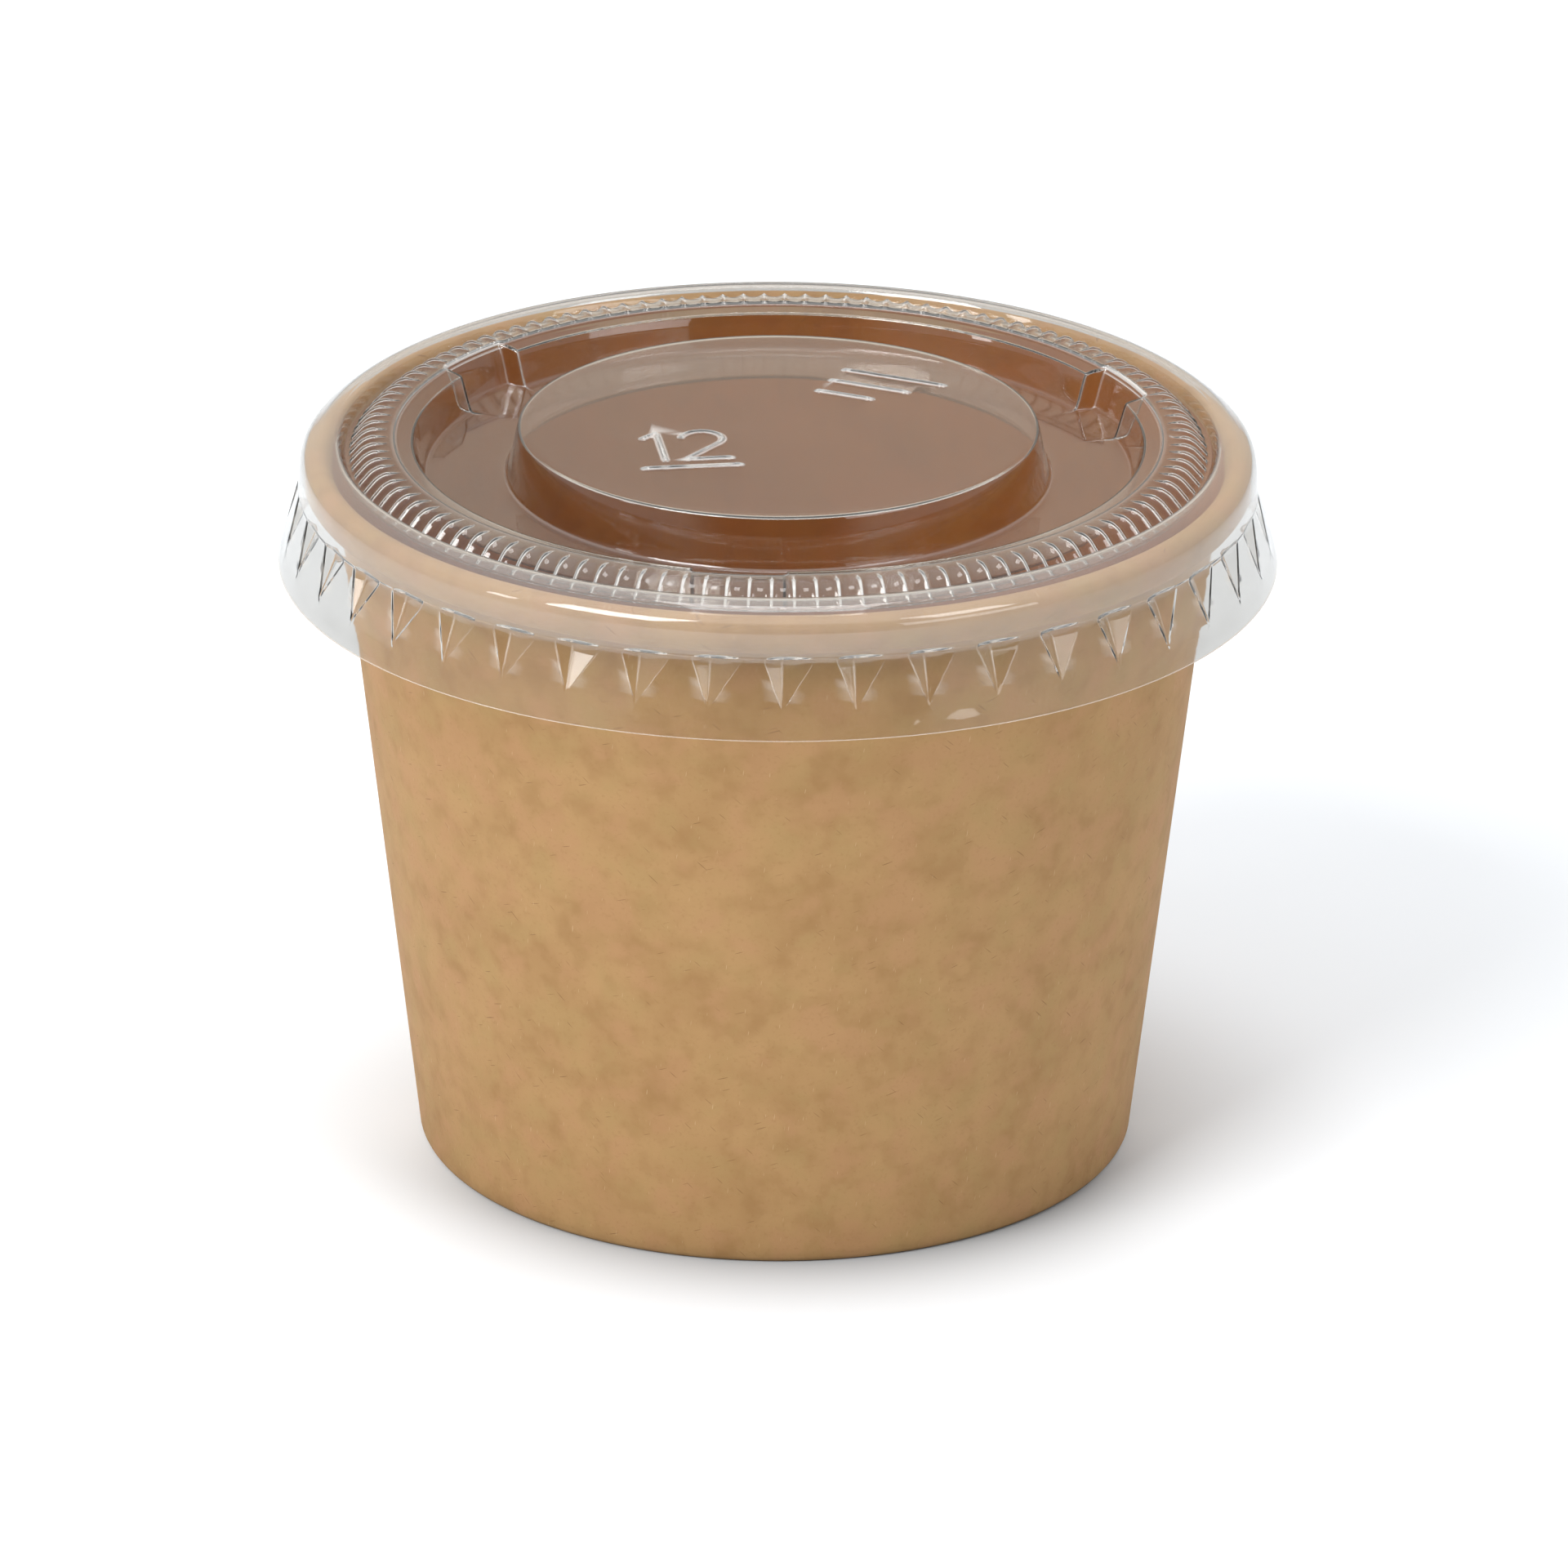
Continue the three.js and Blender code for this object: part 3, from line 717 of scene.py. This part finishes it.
def relief_tree():
    tree = bpy.data.node_groups.new("lid ribs and dents", "GeometryNodeTree")
    face = tree.interface
    face.new_socket("Geometry", in_out="INPUT", socket_type="NodeSocketGeometry")
    sizes = (("Rib count", RIB_COUNT), ("Rib height", RIB_HEIGHT * MM), ("Rib turn", RIB_TURN / 360.0),
             ("Rib start", RIB_START * MM), ("Rib end", RIB_END * MM), ("Dent count", DENT_COUNT),
             ("Dent turn", DENT_TURN / 360.0), ("Dent depth", DENT_DEPTH * MM), ("Dent left", DENT_LEFT * MM),
             ("Dent right", DENT_RIGHT * MM), ("Dent top", DENT_TOP * MM), ("Dent ledge", DENT_LEDGE * MM),
             ("Dent tip", DENT_TIP * MM), ("Panel sag", PANEL_SAG * MM))
    for name, value in sizes:
        face.new_socket(name, in_out="INPUT", socket_type="NodeSocketFloat").default_value = value
    face.new_socket("Finish", in_out="INPUT", socket_type="NodeSocketMaterial")
    face.new_socket("Geometry", in_out="OUTPUT", socket_type="NodeSocketGeometry")
    start, end = tree.nodes.new("NodeGroupInput"), tree.nodes.new("NodeGroupOutput")
    size = {name: Sum(tree, start.outputs[name]) for name, _ in sizes}

    place = tree.nodes.new("GeometryNodeInputPosition").outputs[0]
    x, y, z = parts_of(tree, place)
    radius = (x * x + y * y).node("SQRT")
    turn = y.node("ARCTAN2", x) * (1 / (2 * math.pi))

    hollow_place = ((turn - size["Rib turn"]) * size["Rib count"] + WHOLE_TURNS).fraction() - 0.5
    crest = (hollow_place.size() * 2.0) ** 2.4 - 0.55
    band = radius.between(size["Rib start"], size["Rib start"] + 0.8 * MM) * \
        radius.between(size["Rib end"] - 0.22 * MM, size["Rib end"], 1.0, 0.0)
    rib = crest * band * z.between(56.5 * MM, 56.9 * MM) * size["Rib height"]

    spot = ((turn - size["Dent turn"]) * size["Dent count"] + WHOLE_TURNS).fraction() - 0.5
    across = spot * radius * (2 * math.pi) / size["Dent count"]
    climb = z.between(size["Dent tip"], size["Dent top"], smooth=False)
    steep = (across * -1.0).between(0.0, climb * size["Dent left"] + 0.01 * MM, 1.0, 0.0, smooth=False)
    shallow = across.between(0.0, climb * size["Dent right"] + 0.01 * MM, 1.0, 0.0, smooth=False)
    hollow = steep.least(shallow)
    ledge = z.between(size["Dent top"], size["Dent top"] + size["Dent ledge"], 1.0, 0.0)
    to_corner = spot.size() * -2.0 + 1.0
    panel = (to_corner * to_corner * -1.0 + 1.0) * z.between(48.9 * MM, 50.2 * MM) * size["Panel sag"]
    skirt = radius.between(37 * MM, 37.4 * MM)
    dent = (hollow * climb * size["Dent depth"] + panel) * ledge * skirt

    normal = tree.nodes.new("GeometryNodeInputNormal").outputs[0]
    raise_rib = tree.nodes.new("ShaderNodeVectorMath")
    raise_rib.operation = "SCALE"
    tree.links.new(normal, raise_rib.inputs[0])
    tree.links.new(rib.socket, raise_rib.inputs["Scale"])
    inward = dent / radius * -1.0
    press_dent = vector_of(tree, x * inward, y * inward, 0.0)
    both = tree.nodes.new("ShaderNodeVectorMath")
    both.operation = "ADD"
    tree.links.new(raise_rib.outputs[0], both.inputs[0])
    tree.links.new(press_dent, both.inputs[1])

    move = tree.nodes.new("GeometryNodeSetPosition")
    solid = tree.nodes.new("GeometryNodeRealizeInstances")
    finish = tree.nodes.new("GeometryNodeSetMaterial")
    tree.links.new(start.outputs["Geometry"], move.inputs["Geometry"])
    tree.links.new(both.outputs[0], move.inputs["Offset"])
    tree.links.new(move.outputs[0], solid.inputs[0])
    tree.links.new(solid.outputs[0], finish.inputs["Geometry"])
    tree.links.new(start.outputs["Finish"], finish.inputs["Material"])
    tree.links.new(finish.outputs[0], end.inputs[0])
    return tree


def set_input(modifier, tree, name, value):
    """Modifier inputs are known by their socket's identifier, not by its name."""
    inputs = [item for item in tree.interface.items_tree
              if item.item_type == "SOCKET" and item.in_out == "INPUT"]
    modifier[next(item for item in inputs if item.name == name).identifier] = value


def settle(thing, name):
    """Turns the evaluated object into a plain mesh and drops its modifiers."""
    graph = bpy.context.evaluated_depsgraph_get()
    mesh = bpy.data.meshes.new_from_object(thing.evaluated_get(graph))
    thing.modifiers.clear()
    thing.data = mesh
    mesh.name = name
    thing.name = name
    return thing


# %% [markdown]
# The finish whitens the sheet where it's bent sharply, so it needs to know how sharply. That is
# the angle between two neighbouring faces over the distance between their middles, in radians
# for each millimetre, and each point of the mesh keeps the largest of the edges that meet there.
# Some bends whiten less in the photograph than this number says, so a table turns them down.

# %% How sharply the sheet is bent
# The whitening at bends is partly the sheet's own and partly a painted highlight; this table turns it down
# where the bends show less of it.
CALM_BENDS = (  # radii and heights in mm, and how much of the whitening is left there
    (33.5, 34.95, 56.5, 58.6, 0.0),      # the groove inside the bead
    (26.0, 30.35, 55.0, 58.7, 0.45),     # the channel's outer wall, its notches and the step up to the lip
    (36.2, 38.2, 53.9, 54.75, 0.35),     # the ledge over each dent
    (36.2, 39.2, 51.3, 52.1, 0.5),       # the dents' lower ends, which run out
    (36.2, 39.2, 48.8, 51.3, 0.0))       # the plain skirt below them


def mark_creases(thing, soft=1.6, sharp=4.2):
    """Stores the bend at each point, 0 at soft and 1 at sharp radians a millimetre, as 'crease'."""
    shape = bmesh.new()
    shape.from_mesh(thing.data)
    bend = np.zeros(len(shape.verts))
    for edge in shape.edges:
        if len(edge.link_faces) == 2:
            one, two = edge.link_faces
            apart = (one.calc_center_median() - two.calc_center_median()).length / MM
            here = edge.calc_face_angle(0.0) / max(apart, 0.09)
            for corner in edge.verts:
                bend[corner.index] = max(bend[corner.index], here)
    shape.free()
    marked = ease((bend - soft) / (sharp - soft))
    x, y, z = np.array([list(point.co) for point in thing.data.vertices]).T / MM
    radius = np.hypot(x, y)
    for near, far, low, high, left_over in CALM_BENDS:
        marked[(radius > near) & (radius < far) & (z > low) & (z < high)] *= left_over
    thing.data.attributes.new("crease", "FLOAT", "POINT").data.foreach_set("value", marked)
    return marked


# %% Form the ribs and dents and give the sheet its thickness
shaper = lid.modifiers.new("ribs and dents", "NODES")
shaper.node_group = relief_tree()
set_input(shaper, shaper.node_group, "Finish", clear)
wall_maker = lid.modifiers.new("sheet thickness", "SOLIDIFY")
wall_maker.thickness = SHEET * MM
wall_maker.offset = -1.0
wall_maker.use_even_offset = False
wall_maker.use_rim = True
lid = settle(lid, "lid_sheet")
smooth_shading(lid.data, 80.0)
if not lid.data.materials:
    lid.data.materials.append(clear)
creased = mark_creases(lid)
print("lid sheet:", sum(len(f.vertices) - 2 for f in lid.data.polygons), "triangles,",
      round(float((creased > 0.5).mean()), 3), "of its points on a crease")

# %% [markdown]
# ## Put the pieces on the frame
# Each mesh stands for the CAD node of the same part, and all of them ride on the one body.

# %% Ride and replace
PIECES = ((wall, "cup_wall", "kraft_paperboard"), (bottom, "cup_bottom", "kraft_bottom"),
          (lid, "lid", "clear_lid"))
for thing, node, slot in PIECES:
    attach(thing, "root")
    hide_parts(node)
    corners = np.array([list(c) for c in thing.bound_box]) / MM
    node_low, node_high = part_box(node)
    print(f"{thing.name}: {corners.min(0).round(2)} to {corners.max(0).round(2)} mm,",
          "node's", [round(v / MM, 2) for v in node_low], "to", [round(v / MM, 2) for v in node_high])

# %% [markdown]
# ## Floor and light
# The photograph is a product shot on white: a floor that burns out to white, a large soft light
# high on the left and in front, a weaker one on the right, and a dark place behind the camera. A
# low strip on the left and a low card on the right light facets of the dents, and a warm wall
# behind the set shines in the lid's flat top. The overhead lamp isn't reflected.
#
# The floor is a little lighter on the left, and darkens close to the foot in front, where the
# photograph has its contact shadow. It's darker for light seen through the lid. It's open under
# the cup and from below, so that the underside can be looked at.

# %% Floor
FLOOR_REACH = 2.5                       # metres to each side
# The darkening near the foot is a painted contact shadow.
CONTACT_WIDTH, CONTACT_SHADOW_DARK = 11.0, 0.48    # mm from the foot, and how dark at the foot
FLOOR_TONE = (0.775, 0.805, 0.84)
FLOOR_THROUGH_LID = (0.47, 0.48, 0.485)


def make_floor():
    mesh = bpy.data.meshes.new("studio floor")
    corners = [(x * FLOOR_REACH, y * FLOOR_REACH, 0) for x, y in ((-1, -1), (1, -1), (1, 1), (-1, 1))]
    mesh.from_pydata(corners, [], [(0, 1, 2, 3)])
    floor = bpy.data.objects.new("studio_floor", mesh)
    bpy.context.scene.collection.objects.link(floor)
    material, tree, shader = new_material("white floor")
    through = Sum(tree, tree.nodes.new("ShaderNodeLightPath").outputs["Is Transmission Ray"])
    x, y, _ = parts_of(tree, tree.nodes.new("ShaderNodeTexCoord").outputs["Object"])
    radius = (x * x + y * y).node("SQRT")
    side, front = x / radius, y / radius * -1.0
    # Painted contact shadow: the floor's colour darkens close to the foot in front.
    near = radius.between(BASE_RADIUS * MM, (BASE_RADIUS + CONTACT_WIDTH) * MM, 1.0, 0.0, smooth=False)
    shadow = near * near * front.between(0.0, 0.75) * (side * 0.25 + 1.0) * CONTACT_SHADOW_DARK
    # Painted light: the floor's colour is also a little lighter on the left.
    painted_light_level = (shadow * -1.0 + 1.0) * (side * -0.045 + 1.065)
    seen_directly = vector_of(tree, *(painted_light_level * tone for tone in FLOOR_TONE))
    colour = tint(tree, seen_directly, FLOOR_THROUGH_LID, through)
    tree.links.new(colour, shader.inputs["Base Color"])
    shader.inputs["Roughness"].default_value = 0.9
    shader.inputs["Specular IOR Level"].default_value = 0.0
    from_below = Sum(tree, tree.nodes.new("ShaderNodeNewGeometry").outputs["Backfacing"])
    under_cup = radius.node("LESS_THAN", (BASE_RADIUS - FOLD) * MM)
    open_where(tree, shader, from_below.most(under_cup))
    mesh.materials.append(material)
    print("floor across:", 2 * FLOOR_REACH, "m")


make_floor()


# %% Lights
def soft_light(name, azimuth, elevation, distance, width, height, power,
               colour=(1.0, 1.0, 1.0), reflected=True):
    """A soft box seen from the cup at azimuth (0 is the camera's side, + is right) and elevation.

    Angles are in degrees, lengths in metres and the power in watts.
    """
    lamp = bpy.data.lights.new(name, "AREA")
    lamp.shape = "RECTANGLE"
    lamp.size, lamp.size_y = width, height
    lamp.energy = power
    lamp.color = colour
    thing = bpy.data.objects.new(name, lamp)
    a, e = math.radians(azimuth), math.radians(elevation)
    away = Vector((math.sin(a) * math.cos(e), -math.cos(a) * math.cos(e), math.sin(e)))
    middle = Vector((0, 0, 0.03))
    thing.location = middle + away * distance
    thing.rotation_mode = "QUATERNION"
    thing.rotation_quaternion = away.to_track_quat("Z", "Y")
    thing.visible_glossy = reflected
    bpy.context.scene.collection.objects.link(thing)


soft_light("key soft box", -44, 42, 1.2, 0.55, 0.55, 9.9, (1.0, 0.99, 0.97))
soft_light("low strip on the left", -68, 20, 1.2, 0.14, 0.24, 0.6)
soft_light("fill soft box", 52, 45, 1.3, 0.42, 0.42, 2.5)
soft_light("low card on the right", 46, 18, 1.2, 0.70, 0.24, 1.1)
soft_light("overhead soft box", 180, 84, 1.3, 0.50, 0.50, 5.7, reflected=False)

# %% Surroundings that shine in the lid
world = bpy.data.worlds.new("studio surroundings")
bpy.context.scene.world = world
world.use_nodes = True
sky = world.node_tree
background = sky.nodes["Background"]
direction = sky.nodes.new("ShaderNodeTexCoord").outputs["Generated"]
_, forward, up = parts_of(sky, direction)
walls = up.between(0.55, 0.95, 0.62, 0.95)
photographer = (up * 0.26 - forward * 0.966).between(0.72, 0.94)
level = walls * (photographer * -0.93 + 1.0)
back_wall = forward.between(0.25, 0.80) * up.between(0.75, 0.45)
warm = [level * (back_wall * change + 1.0) for change in (0.04, -0.08, -0.22)]
sky.links.new(vector_of(sky, *warm), background.inputs["Color"])
background.inputs["Strength"].default_value = 1.0

# %% [markdown]
# ## Camera
# The lens, distance and tilt come from fitting the rings of the cup and lid to the photograph:
# a long lens about 0.86 m away, looking down by 22.5 degrees.

# %% Camera
PHOTO_SIDE = 1920.0                     # pixels of the photograph, which the fitted values are in
FOCAL_LENGTH, SHIFT_X, SHIFT_Y = 13273.0, 9.1, -4.0
TILT, ROLL = 22.454, 0.311              # degrees
DISTANCE, TARGET_HEIGHT = 862.57, 28.98     # mm


def make_camera():
    data = bpy.data.cameras.new("photo camera")
    data.sensor_width = 36.0
    data.lens = 36.0 * FOCAL_LENGTH / PHOTO_SIDE
    data.shift_x = SHIFT_X / PHOTO_SIDE
    data.shift_y = SHIFT_Y / PHOTO_SIDE
    data.clip_start, data.clip_end = 0.05, 20.0
    camera = bpy.data.objects.new("photo_camera", data)
    tilt = math.radians(TILT)
    back = Vector((0, -math.cos(tilt), math.sin(tilt)))
    camera.location = Vector((0, 0, TARGET_HEIGHT * MM)) + back * (DISTANCE * MM)
    camera.rotation_mode = "QUATERNION"
    roll_turn = Matrix.Rotation(math.radians(ROLL), 4, "Z").to_quaternion()
    camera.rotation_quaternion = back.to_track_quat("Z", "Y") @ roll_turn
    bpy.context.scene.collection.objects.link(camera)
    bpy.context.scene.camera = camera
    return camera


camera = make_camera()
bpy.context.scene.view_settings.view_transform = "Standard"
bpy.context.scene.view_settings.look = "None"
print("lens", round(camera.data.lens, 1), "mm")
